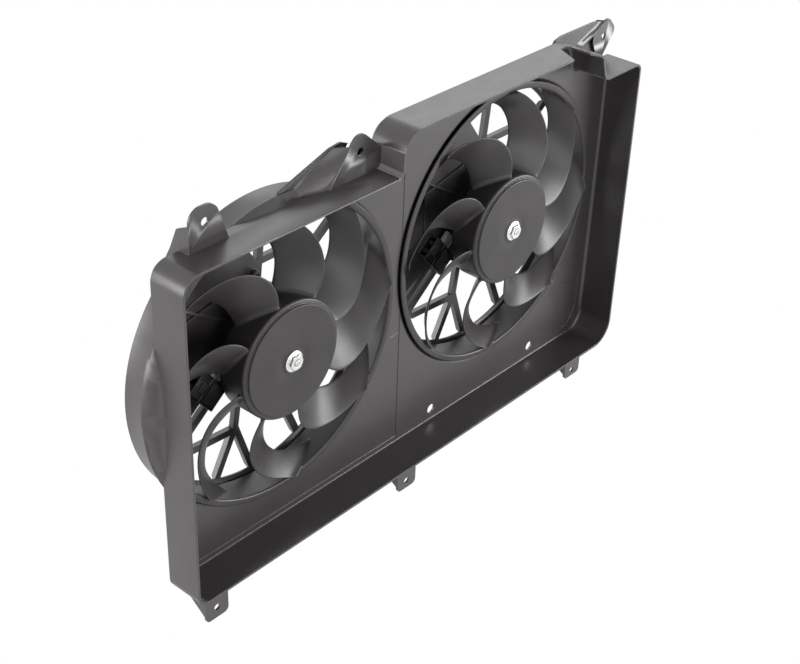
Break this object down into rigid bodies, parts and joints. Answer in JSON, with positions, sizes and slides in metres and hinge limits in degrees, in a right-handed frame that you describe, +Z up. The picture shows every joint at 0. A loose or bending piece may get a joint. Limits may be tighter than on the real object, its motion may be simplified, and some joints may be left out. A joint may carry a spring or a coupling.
{
  "type": "radiator fan shroud",
  "caption": "Radiator fan shroud: shallow moulded tray with barrels, swept banded fans on electric motors held by strut spiders, mounting ears and tabs.",
  "frame": {"origin": "midpoint between the outer lower tab holes, on the plane of the tray's front rim", "axes": "+X across the tray towards its taller end, +Y rearward along the fan axes and the air flow, +Z up"},
  "size_m": [0.7396, 0.101, 0.462],
  "materials": {
    "black_nylon": "satin glass-filled nylon",
    "fan_nylon": "satin moulded nylon",
    "zinc_nut": "bright zinc",
    "shaft_steel": "ground",
    "can_steel": "black coated",
    "ferrite": "sintered",
    "lamination_steel": "stacked laminations",
    "copper_wire": "enamelled copper",
    "commutator_copper": "turned copper",
    "brown_phenolic": "moulded",
    "carbon": "matt carbon",
    "plate_steel": "coated pressed steel",
    "screw_steel": "zinc",
    "black_nylon_plug": "satin",
    "pale_lock": "satin"
  },
  "bodies": {
    "frame": {"shroud_tray": "black_nylon", "left_motor_spider": "black_nylon", "left_motor_can": "can_steel", "left_magnets": "ferrite", "left_brush_card": "brown_phenolic", "left_brushes": "carbon", "left_end_plate": "plate_steel", "left_motor_screws": "screw_steel", "left_connector": "black_nylon_plug", "left_connector_lock": "pale_lock", "right_motor_spider": "black_nylon", "right_motor_can": "can_steel", "right_magnets": "ferrite", "right_brush_card": "brown_phenolic", "right_brushes": "carbon", "right_end_plate": "plate_steel", "right_motor_screws": "screw_steel", "right_connector": "black_nylon_plug", "right_connector_lock": "pale_lock"},
    "left_rotor": {"left_fan": "fan_nylon", "left_fan_nut": "zinc_nut", "left_motor_shaft": "shaft_steel", "left_armature": "lamination_steel", "left_windings": "copper_wire", "left_commutator": "commutator_copper"},
    "right_rotor": {"right_fan": "fan_nylon", "right_fan_nut": "zinc_nut", "right_motor_shaft": "shaft_steel", "right_armature": "lamination_steel", "right_windings": "copper_wire", "right_commutator": "commutator_copper"}
  },
  "joints": [
    {"name": "left_fan_spin", "type": "hinge", "parent": "frame", "child": "left_rotor", "pos_m": [-0.1705, 0.06, 0.2285], "axis": [0, 1, 0], "continuous": true},
    {"name": "right_fan_spin", "type": "hinge", "parent": "frame", "child": "right_rotor", "pos_m": [0.1899, 0.06, 0.2411], "axis": [0, 1, 0], "continuous": true}
  ]
}
